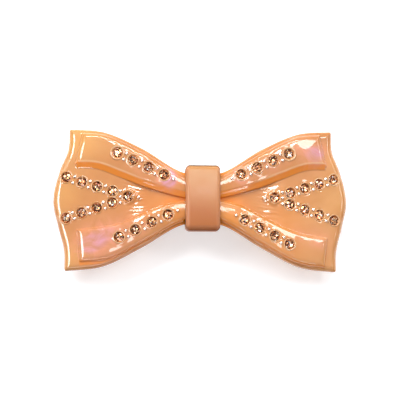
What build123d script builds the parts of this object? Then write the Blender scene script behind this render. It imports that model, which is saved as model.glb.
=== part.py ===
from build123d import *
from build123d import SkipClean
import math
import os

# Bow moulding. The back of the bow is an arch about a line along Y, and heights are above the clip's lowest point.
ARCH_R = 160.0
BACK_Z = 12.0
BASE_T = 2.5
FOLD_RISE = 1.3
WAIST_HALF = 8.3
BAND_W = 11.2
TIP_X = 43.0
TIP_Y = 23.1
LOWER_TIP_X = 44.4
LOWER_TIP_Y = 23.3
STRIP_W = 10.0

# Knot band round the waist of the bow.
BAND_HALF = 10.6
BAND_WALL = 2.0
BAND_TOP = 6.0
BAND_RETURN_GAP = 10.0

# Crystals and the ball-headed pins between them.
GIRDLE_R = 1.55
CRYSTAL_SINK = 0.25
PIT_RIM_R = 1.95
PIN_HEAD_R = 0.55
PIN_SHANK_R = 0.25
PIN_LENGTH = 1.3
PIN_SPREAD = 1.05

# Spring clip under the bow.
CLIP_HALF = 38.0
CLIP_W = 9.0
STEEL_T = 0.8
EAR_T = 0.6
HINGE_X = -37.0
HINGE_Z = 1.9
HINGE_PIN_R = 0.6
RUNNING_GAP = 0.05
CURL_R = 1.4
ARM_R = 700.0
ARM_Z = 2.0
ARM_W = 7.2
HEAD_W = 8.6
BAR_PIVOT_X = -34.3
BAR_PIVOT_Z = 6.6
BAR_END_X = 29.5
BAR_RISE = 1.0
BAR_T = 0.45
BAR_W = 5.6
BAR_ROD_R = 0.4
CATCH_X = 35.3
JAW_W = 2.6
JAW_T = 0.5
JAW_Y = 2.45
JAW_TOP = 5.4
RIVET_X = 16.0
RIVET_R = 0.9
CATCH_RIVET_R = 0.8

UPPER = 1
LOWER = -1
RIGHT = 1
LEFT = -1


def arch_z(rise, x):
    """Height at x of the arch that lies the given rise outside the bow's back."""
    return BACK_Z - ARCH_R + math.sqrt((ARCH_R + rise) ** 2 - x ** 2)


def arch_location(rise, x, y):
    """A point on an arch, turned so that its Z is square to the arch."""
    tilt = math.degrees(math.asin(x / (ARCH_R + rise)))
    return Location((x, y, arch_z(rise, x)), (0, tilt, 0))


def arch_shell(low, high, blank):
    """The part of a blank between two arches."""
    centre = Location((0, 0, BACK_Z - ARCH_R), (90, 0, 0))
    outer = centre * Cylinder(ARCH_R + high, 140)
    inner = centre * Cylinder(ARCH_R + low, 140)
    return blank & (outer - inner)


def in_strips(solid):
    """The same solid with seams across its long arched faces, so that they stay accurate."""
    box = solid.bounding_box()
    count = math.ceil(box.size.X / STRIP_W)
    width = box.size.X / count
    pieces = [solid & Pos(box.min.X + (i + 0.5) * width, 0, 10) * Box(width, 60, 40) for i in range(count)]
    whole = pieces[0]
    for piece in pieces[1:]:
        whole = whole + piece
    return whole


def bow_outline():
    """Plan of the whole bow: a narrow waist and two flared wings with wavy ends."""
    shoulder_x = 6.4
    top = Spline((shoulder_x, WAIST_HALF), (19.5, 16.4), (32.0, 21.9), (TIP_X, TIP_Y))
    upper_end = [(TIP_X, TIP_Y), (43.3, 16.4), (46.3, 8.8), (48.1, -0.3)]
    end = Spline(*upper_end, (46.4, -8.8), (44.5, -16.4), (LOWER_TIP_X, -LOWER_TIP_Y))
    bottom = Spline((LOWER_TIP_X, -LOWER_TIP_Y), (32.0, -21.9), (19.5, -15.9), (shoulder_x, -WAIST_HALF))
    wing = [top, end, bottom]
    wing += [mirror(edge, about=Plane.YZ) for edge in wing]
    waist = [Line((-shoulder_x, y), (shoulder_x, y)) for y in (-WAIST_HALF, WAIST_HALF)]
    outline = make_face([*wing, *waist])
    outline = fillet([v for v in outline.vertices() if abs(v.X) > 40], 0.8)
    return fillet([v for v in outline.vertices() if abs(abs(v.X) - shoulder_x) < 0.01], 4)


def fold_points(side, wing):
    """A fold's inner and outer edge as points of the upper right quarter. The two lower folds differ a little."""
    if side == UPPER:
        inner = [(4.0, 0.9), (18.0, 4.6), (26.0, 7.8), (34.0, 10.8), (41.2, 11.3)]
        outer = [(38.9, 21.7), (31.0, 20.7), (18.0, 14.4), (4.0, 6.6)]
    elif wing == LEFT:
        inner = [(4.0, 0.7), (10.6, 1.5), (17.0, 3.9), (28.2, 8.3), (40.5, 9.9)]
        outer = [(39.6, 20.5), (30.0, 19.5), (18.0, 13.5), (4.0, 6.6)]
    else:
        inner = [(4.0, 0.5), (12.1, 1.9), (17.0, 4.3), (21.9, 6.8), (31.9, 10.8), (41.3, 12.2)]
        outer = [(40.3, 22.0), (31.0, 20.6), (18.0, 13.9), (4.0, 6.6)]
    return inner, outer


def fold_outline(side, wing):
    """Plan of one raised fold."""
    inner_points, outer_points = fold_points(side, wing)
    inner = Spline(*[(wing * x, side * y) for x, y in inner_points])
    outer = Spline(*[(wing * x, side * y) for x, y in outer_points])
    outline = make_face([inner, Line(inner @ 1, outer @ 0), outer, Line(outer @ 1, inner @ 0)])
    return fillet([v for v in outline.vertices() if abs(v.X) > 30], 0.8)


def make_fold(side, wing):
    """One raised fold."""
    blank = extrude(fold_outline(side, wing), 30, dir=(0, 0, 1))
    return arch_shell(BASE_T - 0.6, BASE_T + FOLD_RISE, blank)


def crystal_rows():
    """Rows of crystals: name, the height they sit at, first and last centre, and how many."""
    fold = BASE_T + FOLD_RISE
    return [
        ("fold_upper_left", fold, (-27.5, 14.8), (-12.5, 7.5), 4),
        ("fold_lower_left", fold, (-26.9, -12.6), (-11.2, -5.4), 4),
        ("fold_upper_right", fold, (28.3, 14.9), (12.5, 7.8), 4),
        ("fold_lower_right", fold, (28.4, -14.5), (13.6, -6.9), 4),
        ("wing_upper_left", BASE_T, (-43.9, 7.2), (-29.0, 2.4), 4),
        ("wing_lower_left", BASE_T, (-43.9, -6.1), (-29.1, -1.3), 4),
        ("wing_upper_right", BASE_T, (43.5, 7.1), (28.9, 2.3), 4),
        ("wing_lower_right", BASE_T, (43.6, -6.3), (28.7, -1.5), 4),
    ]


def vertex_crystals():
    """The crystal at the point of each wing's V, with the pin beyond it."""
    return {"wing_upper_left": ((-24.0, 0.6), (-20.6, 0.5)), "wing_upper_right": ((23.7, 0.6), (20.3, 0.4))}


def row_points(first, last, count):
    """Evenly spaced crystal centres along a row."""
    steps = [i / (count - 1) for i in range(count)]
    return [(first[0] + (last[0] - first[0]) * s, first[1] + (last[1] - first[1]) * s) for s in steps]


def crystal_points(name, first, last, count):
    """Every crystal centre in a row, with the vertex crystal if the row has one."""
    points = row_points(first, last, count)
    if name in vertex_crystals():
        points.append(vertex_crystals()[name][0])
    return points


def gap_pins(a, b, offsets):
    """Pin positions across the gap between two neighbouring crystals."""
    length = math.dist(a, b)
    across = (-(b[1] - a[1]) / length, (b[0] - a[0]) / length)
    mid = ((a[0] + b[0]) / 2, (a[1] + b[1]) / 2)
    return [(mid[0] + across[0] * d, mid[1] + across[1] * d) for d in offsets]


def pin_points(name, first, last, count):
    """Every pin in a row: two in each gap, and the single pins that end the row."""
    points = row_points(first, last, count)
    pins = []
    for a, b in zip(points, points[1:]):
        pins += gap_pins(a, b, (-PIN_SPREAD, PIN_SPREAD))
    if name.startswith("fold"):
        step = ((last[0] - first[0]) / (count - 1), (last[1] - first[1]) / (count - 1))
        pins.append((last[0] + step[0] * 0.58, last[1] + step[1] * 0.58))
    if name in vertex_crystals():
        crystal, pin = vertex_crystals()[name]
        pins += gap_pins(((crystal[0] + math.copysign(4.9, crystal[0])), crystal[1]), crystal, (-1.9, 0, 1.9))
        pins.append(pin)
    return pins


def pit_tool():
    """Cutter for a crystal's seat: a bevelled mouth, a short wall and a cone for the point."""
    wall_r = GIRDLE_R + 0.04
    profile = [(0, 0.6), (PIT_RIM_R + 0.2, 0.6), (PIT_RIM_R, 0), (wall_r, -0.3), (wall_r, -0.45)]
    profile += [(0.2, -1.7), (0, -1.7)]
    return revolve(Plane.XZ * make_face(Polyline(*profile, close=True)), Axis.Z)


def crystal():
    """A round crystal: flat table, bevelled crown, girdle and pointed back."""
    profile = [(0, 0.42), (0.9, 0.42), (GIRDLE_R, 0.0), (GIRDLE_R, -0.15), (0.1, -1.4), (0, -1.4)]
    return revolve(Plane.XZ * make_face(Polyline(*profile, close=True)), Axis.Z)


def setting_pin():
    """A ball-headed pin, driven in until half of its head stands proud."""
    head = Sphere(PIN_HEAD_R) & Pos(0, 0, 0.5 - 0.12) * Box(2, 2, 1.0)
    shank = Pos(0, 0, -PIN_LENGTH / 2) * Cylinder(PIN_SHANK_R, PIN_LENGTH)
    return head + shank


def pin_hole():
    """Cutter for a pin: a hole for the shank and a dimple for the ball."""
    hole = Pos(0, 0, -PIN_LENGTH / 2) * Cylinder(PIN_SHANK_R + 0.02, PIN_LENGTH + 0.1)
    dimple = Pos(0, 0, 0.4) * Cylinder(PIN_HEAD_R + 0.02, 1.04)
    return hole + dimple


def crystal_row(row):
    """The crystals of one row, each square to the arch."""
    name, rise, first, last, count = row
    places = [arch_location(rise, x, y) for x, y in crystal_points(name, first, last, count)]
    return Compound(children=[place * Pos(0, 0, -CRYSTAL_SINK) * crystal() for place in places])


def pin_row(row):
    """The pins of one row, each square to the arch."""
    name, rise, first, last, count = row
    places = [arch_location(rise, x, y) for x, y in pin_points(name, first, last, count)]
    return Compound(children=[place * setting_pin() for place in places])


def bow_blank():
    """The bow before its holes: an arched plate with four folds on it."""
    body = arch_shell(0, BASE_T, extrude(bow_outline(), 30, dir=(0, 0, 1)))
    for side in (UPPER, LOWER):
        for wing in (LEFT, RIGHT):
            body = body + make_fold(side, wing)
    return body


def bow_body():
    """The one-piece moulded bow, with its crystal seats, pin holes and blind rivet holes."""
    with SkipClean():
        body = in_strips(bow_blank())
        for name, rise, first, last, count in crystal_rows():
            for x, y in crystal_points(name, first, last, count):
                body = body - arch_location(rise, x, y) * pit_tool()
            for x, y in pin_points(name, first, last, count):
                body = body - arch_location(rise, x, y) * pin_hole()
        for x in (-RIVET_X, RIVET_X):
            body = body - arch_location(0, x, 0) * Pos(0, 0, 0.7) * Cylinder(RIVET_R, 1.6)
    return body


def knot_band():
    """The strap round the waist, open at the back where the clip passes."""
    top = BACK_Z + BAND_TOP
    height = BAND_TOP + 1.9
    outer = Pos(0, 0, top - height / 2) * Box(BAND_W, 2 * BAND_HALF, height)
    outer = fillet(outer.edges().filter_by(Axis.X), 1.6)
    outer = fillet(outer.faces().filter_by(Axis.X).edges(), 0.7)
    inside_top = BACK_Z + BASE_T + FOLD_RISE + 0.1
    inside_low = BACK_Z - 0.2
    tunnel = Pos(0, 0, (inside_top + inside_low) / 2) * Box(BAND_W + 2, 2 * WAIST_HALF + 0.3, inside_top - inside_low)
    slot = Pos(0, 0, inside_low - 2) * Box(BAND_W + 2, BAND_RETURN_GAP, 5)
    return outer - tunnel - slot


def ear_outline():
    """Side view of a hinge ear, deep enough to carry both pivots and to stand on."""
    foot = [(HINGE_X - 2.0, BACK_Z), (HINGE_X - 2.0, 0.7), (HINGE_X - 1.3, 0), (HINGE_X + 1.3, 0)]
    front = [(HINGE_X + 1.9, 0.7), (BAR_PIVOT_X + 1.5, BAR_PIVOT_Z - 1.0), (BAR_PIVOT_X + 1.5, BACK_Z)]
    return Plane.XZ * make_face(Polyline(*foot, *front, close=True))


def clip_base():
    """The arched steel strip that carries the bow, with two hinge ears folded down at its left end."""
    strip = arch_shell(-STEEL_T, 0, Pos(0, 0, 5) * Box(2 * CLIP_HALF, CLIP_W, 30))
    ears = extrude(ear_outline(), CLIP_W / 2, both=True) - Box(200, CLIP_W - 2 * EAR_T, 80)
    ears = arch_shell(-60, -STEEL_T / 2, ears)
    with SkipClean():
        base = in_strips(strip + ears)
        base -= Location((HINGE_X, 0, HINGE_Z), (90, 0, 0)) * Cylinder(HINGE_PIN_R, 20)
        base -= Location((BAR_PIVOT_X, 0, BAR_PIVOT_Z), (90, 0, 0)) * Cylinder(BAR_ROD_R + RUNNING_GAP, 20)
        base -= arch_location(0, CATCH_X, 0) * Cylinder(CATCH_RIVET_R, 3)
        for x in (-RIVET_X, RIVET_X):
            base -= arch_location(0, x, 0) * Cylinder(RIVET_R, 3)
    return base


def fixing_rivets():
    """Two rivets that hold the clip base to the back of the bow."""
    shank = Pos(0, 0, 0.35) * Cylinder(RIVET_R, 2 * STEEL_T + 0.7)
    head = Pos(0, 0, -STEEL_T - 0.22) * Cylinder(1.7, 0.4)
    rivet = shank + fillet(head.edges().group_by(Axis.Z)[0], 0.2)
    return Compound(children=[arch_location(0, x, 0) * rivet for x in (-RIVET_X, RIVET_X)])


def hinge_pin():
    """The pin through both ears and the clasp arm's curl."""
    return Location((HINGE_X, 0, HINGE_Z), (90, 0, 0)) * Cylinder(HINGE_PIN_R, CLIP_W + 0.4)


def clasp_arm():
    """The long spring arm, curled round the hinge pin and ending in a head with a window for the catch."""
    centre = Location((0, 0, ARM_Z - ARM_R), (90, 0, 0))
    ring = centre * Cylinder(ARM_R + STEEL_T, 40) - centre * Cylinder(ARM_R, 40)
    strip = Pos(-1.0, 0, 5) * Box(70, ARM_W, 30)
    head = Pos(35.0, 0, 5) * Box(7.2, HEAD_W, 30)
    blade = (strip + fillet(head.edges().filter_by(Axis.Z), 1.5)) & ring
    blade -= Pos(CATCH_X, 0, 2) * Box(3.8, 5.9, 12)
    hinge = Location((HINGE_X, 0, HINGE_Z), (90, 0, 0))
    return blade + hinge * Cylinder(CURL_R, ARM_W) - hinge * Cylinder(HINGE_PIN_R + RUNNING_GAP, 20)


def tension_bar():
    """The thin bowed leaf that presses hair onto the arm, on a rolled end that turns in the ears."""
    mid = ((BAR_PIVOT_X + BAR_END_X) / 2, BAR_PIVOT_Z + BAR_RISE)
    line = ThreePointArc((BAR_PIVOT_X, BAR_PIVOT_Z), mid, (BAR_END_X, BAR_PIVOT_Z + 0.07))
    upper = offset(line, BAR_T / 2, side=Side.LEFT, closed=True)
    lower = offset(line, BAR_T / 2, side=Side.RIGHT, closed=True)
    section = make_face(upper) + make_face(lower)
    leaf = extrude(Plane.XZ * section, BAR_W / 2, both=True)
    rod = Location((BAR_PIVOT_X, 0, BAR_PIVOT_Z), (90, 0, 0)) * Cylinder(BAR_ROD_R, CLIP_W)
    return leaf + rod


def catch_saddle():
    """The plate of the catch under the right end of the clip base, with two short flanges."""
    plate = arch_shell(-STEEL_T - 0.6, -STEEL_T, Pos(CATCH_X, 0, 5) * Box(4.8, 6.6, 30))
    flanges = Pos(CATCH_X, 0, 7.5) * Box(JAW_W, 2 * JAW_Y + JAW_T, 4) - Pos(CATCH_X, 0, 7.5) * Box(9, 2 * JAW_Y - JAW_T, 9)
    flanges = arch_shell(-40, -STEEL_T - 0.3, flanges)
    return plate + flanges - arch_location(0, CATCH_X, 0) * Cylinder(CATCH_RIVET_R, 5)


def catch_rivet():
    """The rivet that holds the catch to the clip base."""
    shank = Pos(0, 0, -0.73) * Cylinder(CATCH_RIVET_R, 1.42)
    head = Pos(0, 0, -1.62) * Cylinder(1.4, 0.4)
    return arch_location(0, CATCH_X, 0) * (shank + fillet(head.edges().group_by(Axis.Z)[0], 0.2))


def catch_jaw(side):
    """One squeeze jaw: a springy prong through the arm's window with a small hook and a finger tip."""
    inner = JAW_Y - JAW_T / 2
    outer = JAW_Y + JAW_T / 2
    profile = [(inner, JAW_TOP), (inner, 0.3), (inner + 0.3, 0), (outer, 0), (outer, 0.45), (outer + 0.2, 0.95)]
    profile += [(outer, 1.0), (outer, JAW_TOP)]
    jaw = extrude(Plane.YZ * make_face(Polyline(*profile, close=True)), JAW_W / 2, both=True)
    jaw = Pos(CATCH_X, 0, 0) * jaw
    return jaw if side == UPPER else mirror(jaw, about=Plane.XZ)


def save(name, shape):
    """Writes one sub-part."""
    export_step(shape, f"parts/{name}.step")


os.makedirs("parts", exist_ok=True)
save("bow_body", bow_body())
save("knot_band", knot_band())
for crystal_set in crystal_rows():
    save("crystals_" + crystal_set[0], crystal_row(crystal_set))
    save("setting_pins_" + crystal_set[0], pin_row(crystal_set))
save("clip_base", clip_base())
save("fixing_rivets", fixing_rivets())
save("hinge_pin", hinge_pin())
save("clasp_arm", clasp_arm())
save("tension_bar", tension_bar())
save("catch_saddle", catch_saddle())
save("catch_rivet", catch_rivet())
save("catch_jaw_back", catch_jaw(UPPER))
save("catch_jaw_front", catch_jaw(LOWER))
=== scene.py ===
import math
import random

import bmesh
import bpy
import numpy as np
from mathutils import Matrix, Vector


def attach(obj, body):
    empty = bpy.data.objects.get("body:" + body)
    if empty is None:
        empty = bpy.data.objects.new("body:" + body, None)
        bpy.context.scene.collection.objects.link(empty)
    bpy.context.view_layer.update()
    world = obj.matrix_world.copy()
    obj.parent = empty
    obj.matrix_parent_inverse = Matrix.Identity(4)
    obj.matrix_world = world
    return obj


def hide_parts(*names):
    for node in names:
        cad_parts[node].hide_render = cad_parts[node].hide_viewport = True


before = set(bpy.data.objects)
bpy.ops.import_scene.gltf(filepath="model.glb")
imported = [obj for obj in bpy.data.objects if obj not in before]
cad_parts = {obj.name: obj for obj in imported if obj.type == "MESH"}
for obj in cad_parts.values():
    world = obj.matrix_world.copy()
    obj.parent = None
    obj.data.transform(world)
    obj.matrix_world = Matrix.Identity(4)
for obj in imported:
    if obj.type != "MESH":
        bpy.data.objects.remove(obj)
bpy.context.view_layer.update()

MM = 0.001

# Shape of the bow, in millimetres, as in the part's own source.
ARCH_R = 160.0
BACK_Z = 12.0
BASE_T = 2.5
FOLD_RISE = 1.3
WAIST_HALF = 8.3
TIP = (43.0, 23.1)
LOWER_TIP = (44.4, -23.3)
GIRDLE_R = 1.55
CRYSTAL_SINK = 0.25
PIN_R = 0.60
PIN_SHANK_R = 0.25
PIN_SPREAD = 1.05
BAND_HALF = 10.6
BAND_TOP = 6.0

# Finer shape of the bow's surface, in millimetres. A wall is a fold's steep side, its roll is the round above
# that, and its crown is the doming of its face. The slope is the inner flank of an upper fold, which is
# painted with amber shade, and its two widths are measured outwards and inwards from the fold's edge.
CORNER_R = 0.9
WALL_PART = 0.4
WALL_OUT = 0.06
WALL_IN = 0.26
ROLL_START = 0.05
ROLL_W = 1.9
ROLL_NARROWING = 0.9
CROWN = 0.30
CROWN_W = 4.2
SLOPE_OUT = 1.15
SLOPE_IN = 1.05
SLOPE_POWER = 1.2
SLOPE_FOOT = 0.12
LIP_W = 0.28
PANEL_DIP = 0.75
DIP_FULL_X = 17.2
DIP_END_X = 27.8
PANEL_TILT = 0.03
PLEAT = 0.026
PLEAT_X = 22.0
PLEAT_SPREAD = 3.6
EDGE_R = 2.2
EDGE_DROP = 1.5
# Where the painted highlight line runs inside the bow's left edge.
EDGE_LIGHT_IN = 1.35
SEAT_R = 1.9
SEAT_DEPTH = 0.9
SEAT_FLAT_R = 2.1
SEAT_BLEND_R = 2.9

# Mesh density: grid lines in the five bands of a wing, samples in each piece of a fold's curve, and how many
# of the front's columns each strip of the back spans.
ROWS = (10, 38, 62, 38, 10)
FOLD_SAMPLES = 16
BACK_STEP = 14
SHARP_ANGLE = math.radians(50)

LEFT = -1
RIGHT = 1
UPPER = 1
LOWER = -1


# ---------------------------------------------------------------- helpers

def arch_z(rise, x):
    return BACK_Z - ARCH_R + np.sqrt((ARCH_R + rise) ** 2 - x ** 2)


def arch_matrix(rise, x, y):
    """A frame on the arch, Z square to it, in metres."""
    tilt = math.asin(x / (ARCH_R + rise))
    place = Matrix.Translation(Vector((x, y, float(arch_z(rise, x)))) * MM)
    return place @ Matrix.Rotation(tilt, 4, "Y") @ Matrix.Scale(MM, 4)


def spline(points, samples=40):
    """A smooth curve through points: Catmull-Rom with centripetal spacing."""
    p = [np.array(q, float) for q in points]
    p = [2 * p[0] - p[1], *p, 2 * p[-1] - p[-2]]
    out = []
    for i in range(1, len(p) - 2):
        t = [0.0]
        for a, b in zip(p[i - 1:i + 2], p[i:i + 3]):
            t.append(t[-1] + max(np.linalg.norm(b - a), 1e-6) ** 0.5)
        for s in np.linspace(t[1], t[2], samples, endpoint=False):
            a1 = (t[1] - s) / (t[1] - t[0]) * p[i - 1] + (s - t[0]) / (t[1] - t[0]) * p[i]
            a2 = (t[2] - s) / (t[2] - t[1]) * p[i] + (s - t[1]) / (t[2] - t[1]) * p[i + 1]
            a3 = (t[3] - s) / (t[3] - t[2]) * p[i + 1] + (s - t[2]) / (t[3] - t[2]) * p[i + 2]
            b1 = (t[2] - s) / (t[2] - t[0]) * a1 + (s - t[0]) / (t[2] - t[0]) * a2
            b2 = (t[3] - s) / (t[3] - t[1]) * a2 + (s - t[1]) / (t[3] - t[1]) * a3
            out.append((t[2] - s) / (t[2] - t[1]) * b1 + (s - t[1]) / (t[2] - t[1]) * b2)
    out.append(p[-2])
    return np.array(out)


def segment_distance(points, line, closed):
    """Distance from each point to a polyline."""
    best = np.full(len(points), 1e9)
    n = len(line)
    for i in range(n if closed else n - 1):
        a, b = line[i], line[(i + 1) % n]
        ab = b - a
        t = np.clip(((points - a) @ ab) / max(ab @ ab, 1e-12), 0, 1)
        d = np.hypot(*(points - (a + t[:, None] * ab)).T)
        best = np.minimum(best, d)
    return best


def inside(points, poly):
    """Which points lie inside a closed polygon."""
    x, y = points[:, 0], points[:, 1]
    result = np.zeros(len(points), bool)
    a, b = poly, np.roll(poly, -1, axis=0)
    for (x0, y0), (x1, y1) in zip(a, b):
        if y0 == y1:
            continue
        crosses = (y0 > y) != (y1 > y)
        result ^= crosses & (x < (x1 - x0) * (y - y0) / (y1 - y0) + x0)
    return result


def signed_distance(points, poly):
    d = segment_distance(points, poly, True)
    return np.where(inside(points, poly), d, -d)


def mesh_object(name, verts, faces, smooth=True):
    mesh = bpy.data.meshes.new(name)
    mesh.from_pydata([tuple(v) for v in verts], [], [tuple(f) for f in faces])
    mesh.update()
    if smooth:
        mesh.polygons.foreach_set("use_smooth", [True] * len(mesh.polygons))
    obj = bpy.data.objects.new(name, mesh)
    bpy.context.collection.objects.link(obj)
    return obj


def float_attribute(obj, name, values):
    layer = obj.data.attributes.new(name, "FLOAT", "POINT")
    layer.data.foreach_set("value", np.asarray(values, dtype=np.float32))


# ---------------------------------------------------------------- materials

class Nodes:
    """A short way to build a material's node tree."""

    def __init__(self, name):
        self.material = bpy.data.materials.new(name)
        self.material.use_nodes = True
        self.tree = self.material.node_tree
        self.tree.nodes.clear()
        self.output = self.tree.nodes.new("ShaderNodeOutputMaterial")
        self.shader = self.tree.nodes.new("ShaderNodeBsdfPrincipled")
        self.join(self.shader.outputs[0], self.output.inputs[0])

    def join(self, a, b):
        self.tree.links.new(a, b)

    def feed(self, socket, value):
        if isinstance(value, bpy.types.NodeSocket):
            self.join(value, socket)
        elif isinstance(value, tuple) and len(value) == 3 and socket.type == "RGBA":
            socket.default_value = (*value, 1.0)
        else:
            socket.default_value = value

    def set(self, **values):
        for name, value in values.items():
            self.feed(self.shader.inputs[name.replace("_", " ")], value)

    def coords(self):
        return self.tree.nodes.new("ShaderNodeTexCoord").outputs["Object"]

    def attribute(self, name, color=False):
        node = self.tree.nodes.new("ShaderNodeAttribute")
        node.attribute_name = name
        return node.outputs["Color" if color else "Fac"]

    def math(self, kind, a, b=0.0, clamp=False):
        node = self.tree.nodes.new("ShaderNodeMath")
        node.operation = kind
        node.use_clamp = clamp
        self.feed(node.inputs[0], a)
        self.feed(node.inputs[1], b)
        return node.outputs[0]

    def noise(self, scale, detail=3.0, rough=0.5, stretch=None, warp=0.0):
        node = self.tree.nodes.new("ShaderNodeTexNoise")
        vector = self.coords()
        if stretch:
            mapping = self.tree.nodes.new("ShaderNodeMapping")
            mapping.inputs["Scale"].default_value = stretch
            self.join(vector, mapping.inputs["Vector"])
            vector = mapping.outputs[0]
        self.join(vector, node.inputs["Vector"])
        self.feed(node.inputs["Scale"], scale)
        self.feed(node.inputs["Detail"], detail)
        self.feed(node.inputs["Roughness"], rough)
        self.feed(node.inputs["Distortion"], warp)
        return node.outputs["Fac"]

    def ramp(self, value, stops):
        node = self.tree.nodes.new("ShaderNodeValToRGB")
        self.join(value, node.inputs[0])
        elements = node.color_ramp.elements
        while len(elements) < len(stops):
            elements.new(0.5)
        for element, (place, color) in zip(elements, stops):
            element.position = place
            element.color = (*color, 1.0) if isinstance(color, tuple) else (color, color, color, 1.0)
        return node.outputs[0]

    def mix(self, factor, a, b):
        node = self.tree.nodes.new("ShaderNodeMix")
        node.data_type = "RGBA"
        self.feed(node.inputs[0], factor)
        self.feed(node.inputs[6], a)
        self.feed(node.inputs[7], b)
        return node.outputs[2]

    def bump(self, height, strength, distance):
        node = self.tree.nodes.new("ShaderNodeBump")
        self.feed(node.inputs["Strength"], strength)
        self.feed(node.inputs["Distance"], distance)
        self.join(height, node.inputs["Height"])
        return node.outputs[0]


def srgb(r, g, b):
    """A colour given as it looks on screen, turned to linear light."""
    return tuple((c / 255 / 12.92) if c <= 10 else ((c / 255 + 0.055) / 1.055) ** 2.4 for c in (r, g, b))


# How far red, green and blue light spread inside the plastic, against each other.
SKIN_DEPTHS = (1.0, 0.42, 0.2)


def bow_plastic():
    """Peach plastic with pearly swirls, under a clear lacquer. Its masks paint light, shade, sheen and
    highlights into its colour.
    """
    n = Nodes("bow_plastic")
    cloud = n.noise(38, 4, 0.55, warp=0.4)
    base = n.ramp(cloud, [(0.3, srgb(184, 119, 66)), (0.5, srgb(195, 131, 75)), (0.72, srgb(207, 148, 95))])
    # Painted light: pale spots where the lamps light the bow more.
    base = n.mix(n.attribute("painted_light"), base, srgb(216, 157, 88))
    # Painted shade: deep amber under the folds, on their inner flanks, by the waist and over the lower right.
    base = n.mix(n.attribute("painted_shade"), base, srgb(226, 132, 36))
    swirl = n.noise(150, 3, 0.6, warp=1.5)
    # A pearly pink and lilac tint, with painted sheen where the lamps' reflection shows on the pearl.
    patch = n.math("MULTIPLY", n.attribute("pearl_and_painted_sheen"), n.ramp(swirl, [(0.34, 0.35), (0.6, 1.0)]), clamp=True)
    strength = n.math("MULTIPLY", n.attribute("pearl_and_painted_sheen"), 0.6)
    hue = n.math("ADD", strength, n.math("MULTIPLY", n.noise(90, 2, 0.5), 0.6))
    tint = n.ramp(hue, [(0.66, srgb(224, 148, 118)), (1.0, srgb(200, 146, 184))])
    base = n.mix(patch, base, tint)
    # Painted highlights: cream lines on the folds' lips, inside the left edge and on the crystal rims.
    base = n.mix(n.attribute("painted_highlight"), base, srgb(246, 208, 166))
    n.set(Base_Color=base, Roughness=0.22, IOR=1.5, Specular_IOR_Level=0.15)
    n.set(Coat_Weight=n.attribute("gloss"), Coat_Roughness=0.025, Coat_IOR=1.6)
    n.set(Subsurface_Weight=0.15, Subsurface_Radius=SKIN_DEPTHS, Subsurface_Scale=0.0016)
    n.feed(n.shader.inputs["Coat Normal"], n.bump(n.noise(210, 2, 0.5), 0.35, 0.00006))
    n.feed(n.shader.inputs["Normal"], n.bump(n.noise(900, 2, 0.5), 0.2, 0.00002))
    return n.material


def band_plastic():
    """Satin plastic with painted shade that darkens it towards the band's lower end and painted highlights
    that pale its side rims.
    """
    band_length, rim_start, rim_highlight_fade = 0.024, 0.0040, 420
    n = Nodes("band_plastic")
    split = n.tree.nodes.new("ShaderNodeSeparateXYZ")
    n.join(n.coords(), split.inputs[0])
    along = n.math("MULTIPLY", split.outputs["Y"], 1 / band_length)
    across = n.math("ADD", along, n.noise(60, 3, 0.5, warp=0.3))
    # Painted shade: the ramp darkens the band towards its lower end, away from the lamps.
    base = n.ramp(across, [(0.2, srgb(177, 103, 50)), (0.55, srgb(180, 112, 53)), (0.9, srgb(184, 129, 75))])
    edge = n.math("SUBTRACT", n.math("ABSOLUTE", split.outputs["X"]), rim_start)
    # Painted highlight: paler towards the side rims.
    base = n.mix(n.math("MULTIPLY", edge, rim_highlight_fade, clamp=True), base, srgb(206, 145, 110))
    n.set(Base_Color=base, IOR=1.46)
    n.set(Subsurface_Weight=0.15, Subsurface_Radius=SKIN_DEPTHS, Subsurface_Scale=0.0012)
    n.set(Roughness=n.ramp(n.noise(300, 3, 0.6), [(0.3, 0.34), (0.7, 0.46)]))
    n.feed(n.shader.inputs["Normal"], n.bump(n.noise(1400, 3, 0.6), 0.25, 0.00004))
    return n.material


def crystal_glass():
    n = Nodes("crystal_glass")
    n.set(Base_Color=n.attribute("facet", color=True), Metallic=n.attribute("foil"))
    n.set(Roughness=0.09, IOR=1.6, Coat_Weight=0.5, Coat_Roughness=0.01)
    return n.material


def pin_metal():
    n = Nodes("pin_metal")
    n.set(Base_Color=srgb(240, 228, 216), Metallic=1.0)
    n.set(Roughness=n.ramp(n.noise(900, 2, 0.5), [(0.3, 0.06), (0.7, 0.14)]))
    return n.material


def steel(name, color, rough, stretch):
    """Brushed metal. Its streaks are drawn out by the stretch."""
    n = Nodes(name)
    streak = n.noise(260, 4, 0.6, stretch=stretch)
    darker = tuple(c * 0.82 for c in color)
    n.set(Metallic=1.0, Base_Color=n.ramp(streak, [(0.3, darker), (0.7, color)]))
    n.set(Roughness=n.ramp(streak, [(0.3, rough), (0.7, rough + 0.14)]))
    n.feed(n.shader.inputs["Normal"], n.bump(streak, 0.25, 0.00003))
    return n.material


# ---------------------------------------------------------------- bow

def bow_edges():
    """The right wing's outline: its top, its bottom and its wavy end."""
    top = spline([(0, WAIST_HALF), (6.4, WAIST_HALF + 0.3), (19.5, 16.4), (32.0, 21.9), TIP])
    bottom = spline([(0, -WAIST_HALF), (6.4, -WAIST_HALF - 0.2), (19.5, -15.9), (32.0, -21.9), LOWER_TIP])
    end = [TIP, (43.3, 16.4), (46.3, 8.8), (48.1, -0.3), (46.4, -8.8), (44.5, -16.4), LOWER_TIP]
    return top, bottom, spline(end)


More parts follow.
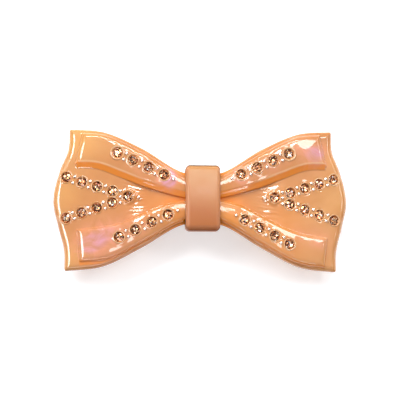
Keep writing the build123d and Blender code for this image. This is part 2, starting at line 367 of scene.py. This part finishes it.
def fold_line(side, wing, which):
    """A fold's long edge, from under the band to its outer end, drawn on the right wing."""
    if side == UPPER:
        inner = [(0.0, 0.7), (4.0, 0.9), (18.0, 4.6), (26.0, 7.8), (34.0, 10.8), (41.2, 11.3)]
        outer = [(0.0, 6.4), (4.0, 6.6), (18.0, 14.4), (31.0, 20.7), (38.9, 21.7)]
    elif wing == LEFT:
        inner = [(0.0, 0.5), (4.0, 0.7), (10.6, 1.5), (17.0, 3.9), (28.2, 8.3), (40.5, 9.9)]
        outer = [(0.0, 6.4), (4.0, 6.6), (18.0, 13.5), (30.0, 19.5), (39.6, 20.5)]
    else:
        inner = [(0.0, 0.4), (4.0, 0.5), (12.1, 1.9), (17.0, 4.3), (21.9, 6.8), (31.9, 10.8), (41.3, 12.2)]
        outer = [(0.0, 6.4), (4.0, 6.6), (18.0, 13.9), (31.0, 20.6), (40.3, 22.0)]
    return [(x, y * side) for x, y in (inner if which == "inner" else outer)]


def fold_outline(side, wing):
    inner = spline(fold_line(side, wing, "inner"), FOLD_SAMPLES)
    outer = spline(fold_line(side, wing, "outer"), FOLD_SAMPLES)[::-1]
    return np.vstack([inner, outer]) * np.array([wing, 1])


# Each row's name, its height over the bow's back, its first and last crystal, and their number.
CRYSTAL_ROWS = [
    ("fold_upper_left", BASE_T + FOLD_RISE, (-27.5, 14.8), (-12.5, 7.5), 4),
    ("fold_lower_left", BASE_T + FOLD_RISE, (-26.9, -12.6), (-11.2, -5.4), 4),
    ("fold_upper_right", BASE_T + FOLD_RISE, (28.3, 14.9), (12.5, 7.8), 4),
    ("fold_lower_right", BASE_T + FOLD_RISE, (28.4, -14.5), (13.6, -6.9), 4),
    ("wing_upper_left", BASE_T, (-43.9, 7.2), (-29.0, 2.4), 4),
    ("wing_lower_left", BASE_T, (-43.9, -6.1), (-29.1, -1.3), 4),
    ("wing_upper_right", BASE_T, (43.5, 7.1), (28.9, 2.3), 4),
    ("wing_lower_right", BASE_T, (43.6, -6.3), (28.7, -1.5), 4),
]
# The crystal and the pin at the tip of each V.
VERTEX = {"wing_upper_left": ((-24.0, 0.6), (-20.6, 0.5)), "wing_upper_right": ((23.7, 0.6), (20.3, 0.4))}
END_PIN_STEP = 0.58
VERTEX_GAP = 4.9
VERTEX_PIN_SPREAD = 1.9


def row_points(first, last, count):
    steps = [i / (count - 1) for i in range(count)]
    return [(first[0] + (last[0] - first[0]) * s, first[1] + (last[1] - first[1]) * s) for s in steps]


def crystal_points(row):
    name, _, first, last, count = row
    points = row_points(first, last, count)
    return points + [VERTEX[name][0]] if name in VERTEX else points


def gap_pins(a, b, offsets):
    """Places across the gap between two crystals."""
    length = math.dist(a, b)
    across = (-(b[1] - a[1]) / length, (b[0] - a[0]) / length)
    mid = ((a[0] + b[0]) / 2, (a[1] + b[1]) / 2)
    return [(mid[0] + across[0] * d, mid[1] + across[1] * d) for d in offsets]


def pin_points(row):
    name, _, first, last, count = row
    points = row_points(first, last, count)
    pins = []
    for a, b in zip(points, points[1:]):
        pins += gap_pins(a, b, (-PIN_SPREAD, PIN_SPREAD))
    if name.startswith("fold"):
        step = ((last[0] - first[0]) / (count - 1), (last[1] - first[1]) / (count - 1))
        pins.append((last[0] + step[0] * END_PIN_STEP, last[1] + step[1] * END_PIN_STEP))
    if name in VERTEX:
        crystal, pin = VERTEX[name]
        behind = (crystal[0] + math.copysign(VERTEX_GAP, crystal[0]), crystal[1])
        pins += gap_pins(behind, crystal, (-VERTEX_PIN_SPREAD, 0, VERTEX_PIN_SPREAD))
        pins.append(pin)
    return pins


def round_over(distance, radius):
    """Height lost near an edge that is rounded to a radius."""
    d = np.clip(distance, 0, radius)
    return radius - np.sqrt(np.maximum(radius ** 2 - (radius - d) ** 2, 0))


def smooth(a, b, x):
    """A soft step from 0 at a to 1 at b."""
    t = np.clip((x - a) / (b - a), 0, 1)
    return t * t * (3 - 2 * t)


# Soft spots of colour on the bow: X, Y, radius and strength of each.
# The pearl spots are a pearly tint with painted sheen, the light spots are painted light and the amber spots
# are painted shade.
PEARL_SHEEN_SPOTS = [
    (-11, 6.2, 3.6, 1.5), (-37, -15, 4.0, 0.9), (-31, -12, 5, 0.6), (38, 15, 4.5, 0.9), (31, 17, 5, 0.5),
    (12, 7, 3.6, 1.0), (38, -13, 3.6, 0.6), (32, -12, 3.4, 0.3), (23, 12, 5, 0.35), (-20, 10, 4, 0.25),
    (-34, -15, 8, 0.3), (-22, -10, 5, 0.45),
]
PAINTED_LIGHT_SPOTS = [
    (-42, 19, 6, 0.9), (-36, 18, 5, 0.5), (42, 14, 5, 0.7), (-45, 2, 6, 0.7), (44, 0, 6, 0.4),
    (-42, -19, 5, 0.8),
]
PAINTED_SHADE_SPOTS = [(24, -14, 10, 0.32), (10, -6, 6, 0.4), (28, -4, 8, 0.2), (-20, -1, 7, 0.3), (-9, -6, 5, 0.25)]


def blobs(points, spots):
    total = np.zeros(len(points))
    for x, y, radius, weight in spots:
        total += weight * np.exp(-((points[:, 0] - x) ** 2 + (points[:, 1] - y) ** 2) / radius ** 2)
    return np.clip(total, 0, 1)


def cluster(count, bend=0.75):
    """Steps from 0 to 1 that are closer together at both ends."""
    t = np.linspace(0, 1, count + 1)[:-1]
    return bend * 0.5 * (1 - np.cos(np.pi * t)) + (1 - bend) * t


def wing_grid(wing):
    """Points of a wing, drawn to the right, on a grid whose lines follow the edges of its folds."""
    top, bottom, end = bow_edges()
    order = np.argsort(end[:, 1])
    end_y, end_x = end[order, 1], end[order, 0]

    def line(side, which):
        p = spline(fold_line(side, wing, which))
        slope = (p[-1] - p[-12]) / (p[-1, 0] - p[-12, 0])
        return np.vstack([p, p[-1] + slope * 12.0])

    folds = [line(UPPER, "outer"), line(UPPER, "inner"), line(LOWER, "inner"), line(LOWER, "outer")]
    corners = [c[-2, 0] for c in folds]
    curves = [top, *folds, bottom]
    fold_end = np.array([corners[0] - 0.6, *corners, corners[3] - 0.6])
    rows = np.concatenate([i + cluster(n) for i, n in enumerate(ROWS)] + [[5.0]])
    which = np.minimum(rows.astype(int), 4)
    part = rows - which

    def height(x):
        values = np.array([np.interp(x, c[:, 0], c[:, 1]) for c in curves])
        pick = np.arange(len(rows))
        return values[which, pick] * (1 - part) + values[which + 1, pick] * part

    x_fold = np.interp(rows, range(6), fold_end)
    x_end = np.full(len(rows), TIP[0] + 2.0)
    for _ in range(30):
        x_end = np.interp(height(x_end), end_y, end_x)
    finer_from = 0.8
    coarse = np.linspace(0, finer_from, 112)[:-1]
    fine = finer_from + (1 - finer_from) * (1 - (1 - np.linspace(0, 1, 44)) ** 1.7)
    inner = np.concatenate([coarse, fine])
    outer = np.append(cluster(40), 1.0)[1:]
    x = np.array([x_fold * t for t in inner] + [x_fold + (x_end - x_fold) * t for t in outer])
    return x, np.array([height(c) for c in x])


def undulate(x, y):
    """The slight unevenness of a moulded and lacquered surface."""
    z = 0.030 * np.sin(0.42 * x + 0.31 * y + 0.7) + 0.026 * np.sin(0.23 * x - 0.55 * y + 2.1)
    return z + 0.014 * np.sin(0.95 * x + 0.35 * y + 4.0) * np.sin(0.8 * y - 0.2 * x)


def bow_grid():
    """X and Y of the whole bow's grid, its four tips slightly blunted."""
    x_left, y_left = wing_grid(LEFT)
    x_right, y_right = wing_grid(RIGHT)
    y_right[0] = y_left[0] = (y_right[0] + y_left[0]) / 2
    x = np.vstack([-x_left[:0:-1], x_right])
    y = np.vstack([y_left[:0:-1], y_right])
    for tip in (TIP, LOWER_TIP):
        away = np.hypot(np.abs(x) - tip[0], y - tip[1])
        pull = 0.35 * CORNER_R * np.clip(1 - away / (1.6 * CORNER_R), 0, 1) ** 2
        x = x - np.sign(x) * pull
        y = y - math.copysign(1, tip[1]) * pull
    return x, y


def bow_outline():
    top, bottom, end = bow_edges()
    right_edge = np.vstack([top, end[1:], bottom[::-1][1:]])
    return np.vstack([right_edge, (right_edge * np.array([-1, 1]))[::-1]])


def fold_relief(points, side, wing):
    """A fold's height over the panel, its painted shade and painted highlight masks, and how far into it each
    point lies.
    """
    shape = fold_outline(side, wing)
    d = signed_distance(points, shape)
    inner = spline(fold_line(side, wing, "inner"), FOLD_SAMPLES) * np.array([wing, 1])
    near_inner = 1 - smooth(0.05, 0.5, segment_distance(points, inner, False) - np.abs(d))
    wall = smooth(-WALL_OUT, WALL_IN, d) * FOLD_RISE * WALL_PART
    roll_width = ROLL_W if side == UPPER else ROLL_W - ROLL_NARROWING * near_inner
    lost = round_over(np.maximum(d - ROLL_START, 0), roll_width) / roll_width
    roll = FOLD_RISE * (1 - WALL_PART) * (1 - lost)
    crown = CROWN * np.clip(1 - d / CROWN_W, 0, 1) ** 2
    height = np.where(d > -WALL_OUT, wall + np.where(d > ROLL_START, roll - crown, 0), 0)
    # Painted shade under the fold's downward facing edge.
    facing_down = smooth(-0.1, 0.1, d) * (1 - smooth(0.7, 1.3, d))
    under = signed_distance(points - np.array([0, 1.0]), shape)
    fold_shade = facing_down * (1 - smooth(-0.9, 0.1, under))
    if side == LOWER:
        # Painted shade below a lower fold's bottom edge.
        over = signed_distance(points + np.array([0, 1.3]), shape)
        shade = smooth(-1.2, -0.7, d) * smooth(-0.2, 0.5, over) * (d < 0.1)
        return height, np.maximum(fold_shade, shade), np.zeros(len(points)), d
    size = np.abs(points[:, 0])
    near_inner *= 1 - smooth(-0.9, -0.1, size - abs(inner[-1, 0]))
    slope = 1 - np.clip(1 - (d + SLOPE_OUT) / (SLOPE_OUT + SLOPE_IN), 0, 1) ** SLOPE_POWER
    foot = smooth(-SLOPE_OUT - 0.1, -SLOPE_OUT + 0.15, d)
    sloped = (FOLD_RISE - crown) * (SLOPE_FOOT * foot + (1 - SLOPE_FOOT) * slope)
    height += (sloped - height) * near_inner
    reach = d + SLOPE_OUT * near_inner
    on_slope = near_inner * smooth(0, 0.3, reach)
    # Painted shade on an upper fold's inner flank.
    fold_shade = np.maximum(fold_shade, on_slope * (1 - smooth(SLOPE_IN - 0.5, SLOPE_IN, d)))
    # A painted highlight along the lip of that flank.
    lip_highlight = near_inner * np.exp(-((d - SLOPE_IN) / LIP_W) ** 2) * smooth(16, 24, size)
    return height, fold_shade, 0.4 * lip_highlight, reach


def pleats(x, y):
    """Shallow, uneven ripples that fan out from the waist, strongest round the tip of each V."""
    size = np.abs(x)
    phase = 2 * math.pi * (y - 0.16 * size) / (0.055 * size + 0.1)
    phase = phase + 1.1 * np.sin(1.15 * y + 0.4 * x) + 0.6 * np.sin(0.9 * size + 2.0)
    depth = PLEAT * np.exp(-((size - PLEAT_X) / PLEAT_SPREAD) ** 2)
    return depth * (1 + 0.6 * np.sin(1.9 * y + 0.7 * size)) * np.cos(phase)


def seat_crystals(points, rise):
    """Flatten the surface round every crystal and sink a seat into it."""
    for row in CRYSTAL_ROWS:
        for cx, cy in crystal_points(row):
            away = np.hypot(points[:, 0] - cx, points[:, 1] - cy)
            flat = 1 - smooth(SEAT_FLAT_R, SEAT_BLEND_R, away)
            rise = np.where(away < SEAT_BLEND_R, rise + (row[1] - rise) * flat, rise)
            rise -= SEAT_DEPTH * (1 - smooth(GIRDLE_R, SEAT_R, away))
    return rise


def bow_relief(points):
    """The front's height over the bow's back, the masks that colour it with painted light, shade, sheen and
    highlights, and its gloss.
    """
    x, y = points.T
    size = np.abs(x)
    edge = segment_distance(points, bow_outline(), True)
    rise = np.full(len(points), BASE_T)
    painted_shade = np.zeros(len(points))
    painted_highlight = np.zeros(len(points))
    on_fold = np.zeros(len(points))
    for wing in (LEFT, RIGHT):
        for side in (UPPER, LOWER):
            height, fold_shade, lip_highlight, reach = fold_relief(points, side, wing)
            rise += height
            painted_shade = np.maximum(painted_shade, fold_shade)
            painted_highlight = np.maximum(painted_highlight, lip_highlight)
            on_fold = np.maximum(on_fold, smooth(-0.1, 0.3, reach))
    between = 1 - on_fold
    dip = 1 - smooth(DIP_FULL_X, DIP_END_X, size)
    rise -= PANEL_DIP * dip * between * smooth(1.0, 3.0, edge)
    rise += PANEL_TILT * y * between * np.exp(-((size - 5) / 9.0) ** 2)
    rise += pleats(x, y) * between
    rise += undulate(x, y)
    rise = np.minimum(rise, BASE_T + FOLD_RISE + 0.05)
    rise -= EDGE_DROP * round_over(edge, EDGE_R) / EDGE_R
    painted_shade = painted_shade * smooth(0.6, 1.4, edge)
    # Painted shade in the hollow between the folds by the waist.
    painted_shade = np.maximum(painted_shade, 0.8 * between * np.exp(-((size - 4.0) / 8.0) ** 2))
    # A painted highlight line just inside the left edge.
    painted_highlight = np.maximum(painted_highlight, 0.4 * (x < -TIP[0]) * np.exp(-((edge - EDGE_LIGHT_IN) / 0.4) ** 2))
    masks = {
        "painted_shade": np.clip(painted_shade + blobs(points, PAINTED_SHADE_SPOTS), 0, 1),
        "pearl_and_painted_sheen": blobs(points, PEARL_SHEEN_SPOTS),
        "painted_light": blobs(points, PAINTED_LIGHT_SPOTS) * 0.8,
        "painted_highlight": painted_highlight,
        "gloss": 0.3 + 0.7 * smooth(8, 15, size),
    }
    return seat_crystals(points, rise), masks


def closed_faces(columns, lines):
    """Faces of a closed slab: a fine front, a back in wide strips, and walls between them."""
    stride = lines + 1
    count = (columns + 1) * stride
    faces = []
    for i in range(columns):
        for j in range(lines):
            a = i * stride + j
            faces.append((a, a + 1, a + stride + 1, a + stride))
    cuts = list(range(0, columns, BACK_STEP)) + [columns]
    for i, i_next in zip(cuts, cuts[1:]):
        left = [i * stride + j for j in (range(lines + 1) if i == 0 else (0, lines))]
        right = [i_next * stride + j for j in (range(lines + 1) if i_next == columns else (0, lines))]
        high = [k * stride + lines for k in range(i + 1, i_next)]
        low = [k * stride for k in range(i + 1, i_next)]
        loop = left + high + right[::-1] + low[::-1]
        faces.append(tuple(count + k for k in reversed(loop)))
    rim = [i * stride for i in range(columns + 1)]
    rim += [columns * stride + j for j in range(1, lines + 1)]
    rim += [i * stride + lines for i in range(columns - 1, -1, -1)]
    rim += list(range(lines - 1, 0, -1))
    faces += [(a, b, b + count, a + count) for a, b in zip(rim, rim[1:] + rim[:1])]
    return faces


def build_bow():
    x, y = bow_grid()
    points = np.column_stack([x.ravel(), y.ravel()])
    rise, masks = bow_relief(points)
    angle = np.arcsin(points[:, 0] / (ARCH_R + BASE_T))
    z_front = BACK_Z - ARCH_R + (ARCH_R + rise) * np.cos(angle)
    z_back = arch_z(0, points[:, 0])
    verts = np.vstack([np.column_stack([points, z_front]), np.column_stack([points, z_back])]) * MM
    faces = closed_faces(x.shape[0] - 1, x.shape[1] - 1)
    used = sorted({k for face in faces for k in face})
    renumber = {k: n for n, k in enumerate(used)}
    obj = mesh_object("bow", verts[used], [tuple(renumber[k] for k in face) for face in faces])
    for name, mask in masks.items():
        float_attribute(obj, name, np.concatenate([mask, np.zeros(len(mask))])[used])
    obj.data.set_sharp_from_angle(angle=SHARP_ANGLE)
    return obj


def build_rims():
    """The raised ring of lacquer round every crystal, with painted highlights on its crest."""
    profile = [(1.50, -0.75), (1.57, -0.22), (1.64, -0.02), (1.72, 0.12), (1.81, 0.20)]
    profile += [(1.90, 0.22), (1.99, 0.16), (2.07, 0.06), (2.14, -0.07)]
    turns, extra_width = 40, 0.35
    verts, faces, painted_highlight = [], [], []
    for row in CRYSTAL_ROWS:
        for number, (x, y) in enumerate(crystal_points(row)):
            wide = extra_width if number == 0 and row[0].startswith("fold_upper") else 0.0
            # How strong the painted highlight on this rim's crest is.
            pale = 0.45 + 0.3 * math.sin(1.7 * x + 2.3 * y)
            matrix = arch_matrix(row[1], x, y)
            start = len(verts)
            for k in range(turns):
                a = 2 * math.pi * k / turns
                ring = [(r + wide * smooth(GIRDLE_R, SEAT_R, r), h) for r, h in profile]
                verts += [tuple(matrix @ Vector((r * math.cos(a), r * math.sin(a), h))) for r, h in ring]
                patchy = pale * (0.6 + 0.4 * math.sin(2 * a + x) * math.sin(3 * a + y))
                painted_highlight += [patchy * min(max((h - 0.04) / 0.14, 0), 1) for _, h in ring]
            m = len(profile)
            for k in range(turns):
                p, q = start + k * m, start + (k + 1) % turns * m
                faces += [(p + i, p + i + 1, q + i + 1, q + i) for i in range(m - 1)]
    faces = [tuple(reversed(f)) for f in faces]
    rims = mesh_object("rims", verts, faces)
    float_attribute(rims, "painted_highlight", painted_highlight)
    float_attribute(rims, "gloss", np.ones(len(verts)))
    return rims


# ---------------------------------------------------------------- crystals and pins

# Painted reflection tones for the facets, standing in for the light that foil behind cut glass sends back,
# with how often each comes up.
FACET_REFLECTION_TONES = [
    (srgb(44, 18, 8), 7), (srgb(96, 46, 22), 6), (srgb(170, 96, 48), 6), (srgb(232, 156, 96), 5),
    (srgb(255, 214, 166), 3), (srgb(255, 255, 250), 1), (srgb(240, 166, 142), 1),
]
PEAK_Z = 0.40
STONE_POINT_Z = -1.38


def build_crystals(row, rng):
    """Faceted stones. Each facet is painted a tone of its own, a painted reflection standing in for the light
    that foil behind cut glass sends back.
    """
    bm = bmesh.new()
    tones = [tone for tone, weight in FACET_REFLECTION_TONES for _ in range(weight)]
    for x, y in crystal_points(row):
        matrix = arch_matrix(row[1], x, y) @ Matrix.Translation((0, 0, -CRYSTAL_SINK))
        turn = rng.uniform(0, math.pi / 4)

        def ring(radius, height, count, phase, wobble=0.0):
            out = []
            for k in range(count):
                a = turn + 2 * math.pi * (k + phase) / count
                z = height + rng.uniform(-wobble, wobble)
                out.append(bm.verts.new(matrix @ Vector((radius * math.cos(a), radius * math.sin(a), z))))
            return out

        peak = bm.verts.new(matrix @ Vector((0, 0, PEAK_Z)))
        star = ring(0.48, 0.36, 8, 0.5, 0.05)
        table = ring(0.92, 0.41, 8, 0.0, 0.015)
        crown = ring(1.26, 0.22, 16, 0.5, 0.02)
        girdle = ring(GIRDLE_R, 0.0, 16, 0.0)
        under = ring(GIRDLE_R, -0.15, 16, 0.0)
        point = bm.verts.new(matrix @ Vector((0, 0, STONE_POINT_Z)))
        for k in range(8):
            nxt = (k + 1) % 8
            bm.faces.new((peak, star[k - 1], star[k]))
            bm.faces.new((star[k - 1], table[k], star[k]))
            bm.faces.new((star[k], table[k], table[nxt]))
            a, b, c = 2 * k, 2 * k + 1, (2 * k + 2) % 16
            bm.faces.new((table[k], crown[a], crown[b]))
            bm.faces.new((table[k], crown[b], table[nxt]))
            bm.faces.new((table[k], crown[a - 1], crown[a]))
        for k in range(16):
            nxt = (k + 1) % 16
            bm.faces.new((crown[k], girdle[k], girdle[nxt]))
            bm.faces.new((crown[k], girdle[nxt], crown[nxt]))
            bm.faces.new((girdle[k], under[k], under[nxt], girdle[nxt]))
            bm.faces.new((under[k], point, under[nxt]))
    bm.normal_update()
    mesh = bpy.data.meshes.new("crystals_" + row[0])
    bm.to_mesh(mesh)
    bm.free()
    color = mesh.color_attributes.new("facet", "FLOAT_COLOR", "CORNER")
    foil = mesh.attributes.new("foil", "FLOAT", "FACE")
    for poly in mesh.polygons:
        tone = rng.choice(tones)
        foil.data[poly.index].value = rng.choice((0.35, 0.7, 0.9))
        for loop in poly.loop_indices:
            color.data[loop].color = (*tone, 1.0)
    obj = bpy.data.objects.new("stones_" + row[0], mesh)
    bpy.context.collection.objects.link(obj)
    return obj


def build_pins(row):
    """Ball heads on short shanks."""
    head_at, shank_at = Matrix.Translation((0, 0, 0.05)), Matrix.Translation((0, 0, -0.65))
    head = {"u_segments": 18, "v_segments": 12, "radius": PIN_R}
    shank = {"cap_ends": True, "segments": 10, "radius1": PIN_SHANK_R, "radius2": PIN_SHANK_R, "depth": 1.2}
    bm = bmesh.new()
    for x, y in pin_points(row):
        matrix = arch_matrix(row[1], x, y)
        bmesh.ops.create_uvsphere(bm, matrix=matrix @ head_at, **head)
        bmesh.ops.create_cone(bm, matrix=matrix @ shank_at, **shank)
    mesh = bpy.data.meshes.new("pins_" + row[0])
    bm.to_mesh(mesh)
    bm.free()
    mesh.polygons.foreach_set("use_smooth", [True] * len(mesh.polygons))
    obj = bpy.data.objects.new("pins_" + row[0], mesh)
    bpy.context.collection.objects.link(obj)
    return obj


# ---------------------------------------------------------------- knot band

BAND_CORNER_R = 1.9
BAND_SIDE_R = 1.5
BAND_SLOT_HALF = 5.0
BAND_HALF_WIDTH = 5.6
BAND_SAG = 1.2
BAND_TOP_POINTS = 24
CORNER_STEPS = 8


def band_section(inset):
    """The band's C-shaped section in Y and Z, with its outer side drawn in by the inset."""
    top, low = BACK_Z + BAND_TOP, BACK_Z - 1.9
    inner_top, inner_low = BACK_Z + BASE_T + FOLD_RISE + 0.1, BACK_Z - 0.2
    inner_half = WAIST_HALF + 0.15
    flat = BAND_HALF - BAND_CORNER_R

    def corner(cy, cz, start):
        angles = [math.radians(start + 90 * k / CORNER_STEPS) for k in range(CORNER_STEPS + 1)]
        radius = BAND_CORNER_R - inset
        return [(cy + radius * math.cos(a), cz + radius * math.sin(a)) for a in angles]

    outer = corner(flat, top - BAND_CORNER_R, 0)
    half_count = BAND_TOP_POINTS / 2
    outer += [(flat * (1 - k / half_count), top - inset) for k in range(1, BAND_TOP_POINTS)]
    outer += corner(-flat, top - BAND_CORNER_R, 90)
    outer += corner(-flat, low + BAND_CORNER_R, 180)
    slot = BAND_SLOT_HALF + inset * 0.3
    hollow = [(-slot, low + inset), (-slot, inner_low), (-inner_half, inner_low), (-inner_half, inner_top)]
    hollow += [(-y, z) for y, z in reversed(hollow)]
    return outer + hollow + corner(flat, low + BAND_CORNER_R, 270)


def build_band():
    """The section swept across the band. Its side edges are rounded and its top sags towards its ends."""
    flat = BAND_HALF_WIDTH - BAND_SIDE_R
    stations = []
    for k in range(CORNER_STEPS + 1):
        a = math.pi / 2 * k / CORNER_STEPS
        stations.append((flat + BAND_SIDE_R * math.sin(a), BAND_SIDE_R * (1 - math.cos(a))))
    stations = [(-x, inset) for x, inset in reversed(stations)] + stations
    sagging_from = BACK_Z + 4.3
    verts, faces = [], []
    for x, inset in stations:
        for y, z in band_section(inset):
            sag = BAND_SAG * (y / BAND_HALF) ** 2 if z > sagging_from else 0
            verts.append((x, y, z - sag))
    m = len(verts) // len(stations)
    for s in range(len(stations) - 1):
        for k in range(m):
            nxt = (k + 1) % m
            faces.append((s * m + k, s * m + nxt, (s + 1) * m + nxt, (s + 1) * m + k))
    faces.append(tuple(range(m)))
    faces.append(tuple(reversed(range((len(stations) - 1) * m, len(stations) * m))))
    faces = [tuple(reversed(f)) for f in faces]
    obj = mesh_object("band", np.array(verts) * MM, faces)
    obj.data.set_sharp_from_angle(angle=SHARP_ANGLE)
    return obj


# ---------------------------------------------------------------- assembly

def dress(obj, material):
    obj.data.materials.clear()
    obj.data.materials.append(material)


def join(target, other):
    both = [target, other]
    with bpy.context.temp_override(active_object=target, selected_editable_objects=both, object=target):
        bpy.ops.object.join()


glass_material = crystal_glass()
pin_material = pin_metal()
bow = build_bow()
join(bow, build_rims())
dress(bow, bow_plastic())
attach(bow, "bow")
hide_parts("bow_body")

band = build_band()
dress(band, band_plastic())
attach(band, "bow")
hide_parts("knot_band")

rng = random.Random(7)
for row in CRYSTAL_ROWS:
    stones = build_crystals(row, rng)
    dress(stones, glass_material)
    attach(stones, "bow")
    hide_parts("crystals_" + row[0])
    pins = build_pins(row)
    dress(pins, pin_material)
    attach(pins, "bow")
    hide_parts("setting_pins_" + row[0])

clip_steel = steel("clip_steel", (0.62, 0.62, 0.63), 0.22, (1, 8, 8))
spring_steel = steel("spring_steel", (0.55, 0.55, 0.57), 0.26, (1, 8, 8))
rivet_metal = steel("rivet_metal", (0.70, 0.70, 0.71), 0.16, (3, 3, 3))
for node in ("clip_base", "clasp_arm"):
    dress(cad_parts[node], clip_steel)
for node in ("tension_bar", "catch_saddle", "catch_jaw_back", "catch_jaw_front"):
    dress(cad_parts[node], spring_steel)
for node in ("fixing_rivets", "hinge_pin", "catch_rivet"):
    dress(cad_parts[node], rivet_metal)


# ---------------------------------------------------------------- stage, light and camera

def build_floor():
    half = 2.0
    corners = [(-half, -half, 0), (half, -half, 0), (half, half, 0), (-half, half, 0)]
    floor = mesh_object("floor", corners, [(0, 1, 2, 3)], smooth=False)
    n = Nodes("floor")
    n.set(Base_Color=(0.885, 0.895, 0.915), Roughness=0.6, Specular_IOR_Level=0.2)
    n.set(Emission_Color=(1.0, 0.99, 1.0), Emission_Strength=0.40)
    dress(floor, n.material)


def area_light(name, place, size, power, diffuse=True, gloss=True):
    """A softbox aimed at the clip. Some only shade it and some only put highlights on it."""
    data = bpy.data.lights.new(name, "AREA")
    data.shape = "RECTANGLE"
    data.size, data.size_y = size
    data.energy = power
    obj = bpy.data.objects.new(name, data)
    obj.location = place
    obj.rotation_euler = (Vector((0, 0, 0.01)) - Vector(place)).to_track_quat("-Z", "Y").to_euler()
    obj.visible_diffuse = diffuse
    obj.visible_glossy = gloss
    bpy.context.collection.objects.link(obj)


def build_camera():
    """A camera almost square above the clip, leaning a little to its left and its front."""
    distance, view_width, sensor_width = 0.6, 129.6176 * MM, 36
    tilt_left, tilt_down, roll = math.radians(4.3), math.radians(6.0), math.radians(0.44)
    shift_right, shift_up = 0.64809 * MM, 0.55087 * MM
    back = Vector((-math.tan(tilt_left), -math.tan(tilt_down), 1)).normalized()
    right = (Vector((1, 0, 0)) - back * back.x).normalized()
    up = back.cross(right)
    turn = Matrix.Rotation(roll, 3, back)
    right, up = turn @ right, turn @ up
    aim = Vector((0, 0.3, BACK_Z)) * MM - right * shift_right - up * shift_up
    data = bpy.data.cameras.new("camera")
    data.sensor_width = sensor_width
    data.lens = sensor_width * distance / view_width
    data.clip_start, data.clip_end = 0.01, 10
    obj = bpy.data.objects.new("camera", data)
    facing = Matrix((right, up, back)).transposed().to_4x4()
    obj.matrix_world = Matrix.Translation(aim + back * distance) @ facing
    bpy.context.collection.objects.link(obj)
    bpy.context.scene.camera = obj


def build_world():
    """A soft white tent: bright overhead, dimmer towards the horizon. The camera itself sees it plain."""
    world = bpy.data.worlds.new("world")
    world.use_nodes = True
    tree = world.node_tree
    tree.nodes.clear()
    output = tree.nodes.new("ShaderNodeOutputWorld")
    mix = tree.nodes.new("ShaderNodeMixShader")
    tent, plain = tree.nodes.new("ShaderNodeBackground"), tree.nodes.new("ShaderNodeBackground")
    path = tree.nodes.new("ShaderNodeLightPath")
    coords, split = tree.nodes.new("ShaderNodeTexCoord"), tree.nodes.new("ShaderNodeSeparateXYZ")
    ramp = tree.nodes.new("ShaderNodeValToRGB")
    stops = ramp.color_ramp.elements
    stops.new(0.45)
    for stop, place, level in zip(stops, (0.0, 0.45, 0.95), (0.14, 0.32, 1.0)):
        stop.position, stop.color = place, (level, level * 0.985, level * 0.98, 1)
    plain.inputs[0].default_value = (0.97, 0.97, 0.975, 1)
    tent.inputs[1].default_value = 0.76
    links = tree.links
    links.new(coords.outputs["Generated"], split.inputs[0])
    links.new(split.outputs["Z"], ramp.inputs[0])
    links.new(ramp.outputs[0], tent.inputs[0])
    links.new(path.outputs["Is Camera Ray"], mix.inputs[0])
    links.new(tent.outputs[0], mix.inputs[1])
    links.new(plain.outputs[0], mix.inputs[2])
    links.new(mix.outputs[0], output.inputs[0])
    bpy.context.scene.world = world


bpy.context.scene.view_settings.view_transform = "Standard"
build_floor()
build_world()
area_light("key", (-0.20, 0.44, 0.46), (0.80, 0.42), 6.15, gloss=False)
area_light("top_strip", (-0.02, 0.42, 0.50), (0.56, 0.065), 2.4, diffuse=False)
area_light("left_strip", (-0.47, -0.01, 0.38), (0.30, 0.14), 2.0, diffuse=False)
area_light("front_strip", (0.0, -0.47, 0.42), (0.7, 0.05), 1.0, diffuse=False)
area_light("right_window", (0.37, 0.24, 0.56), (0.21, 0.14), 0.9)
area_light("right_strip", (0.53, 0.16, 0.33), (0.3, 0.05), 0.35)
area_light("overhead", (0.045, 0.15, 0.60), (0.20, 0.09), 1.5, diffuse=False)
for side, x in (("left", -0.165), ("right", 0.245)):
    area_light(side + "_glint_low", (x, -0.05, 0.59), (0.06, 0.06), 0.09, diffuse=False)
    area_light(side + "_glint_high", (x, 0.20, 0.56), (0.07, 0.07), 0.45, diffuse=False)
build_camera()
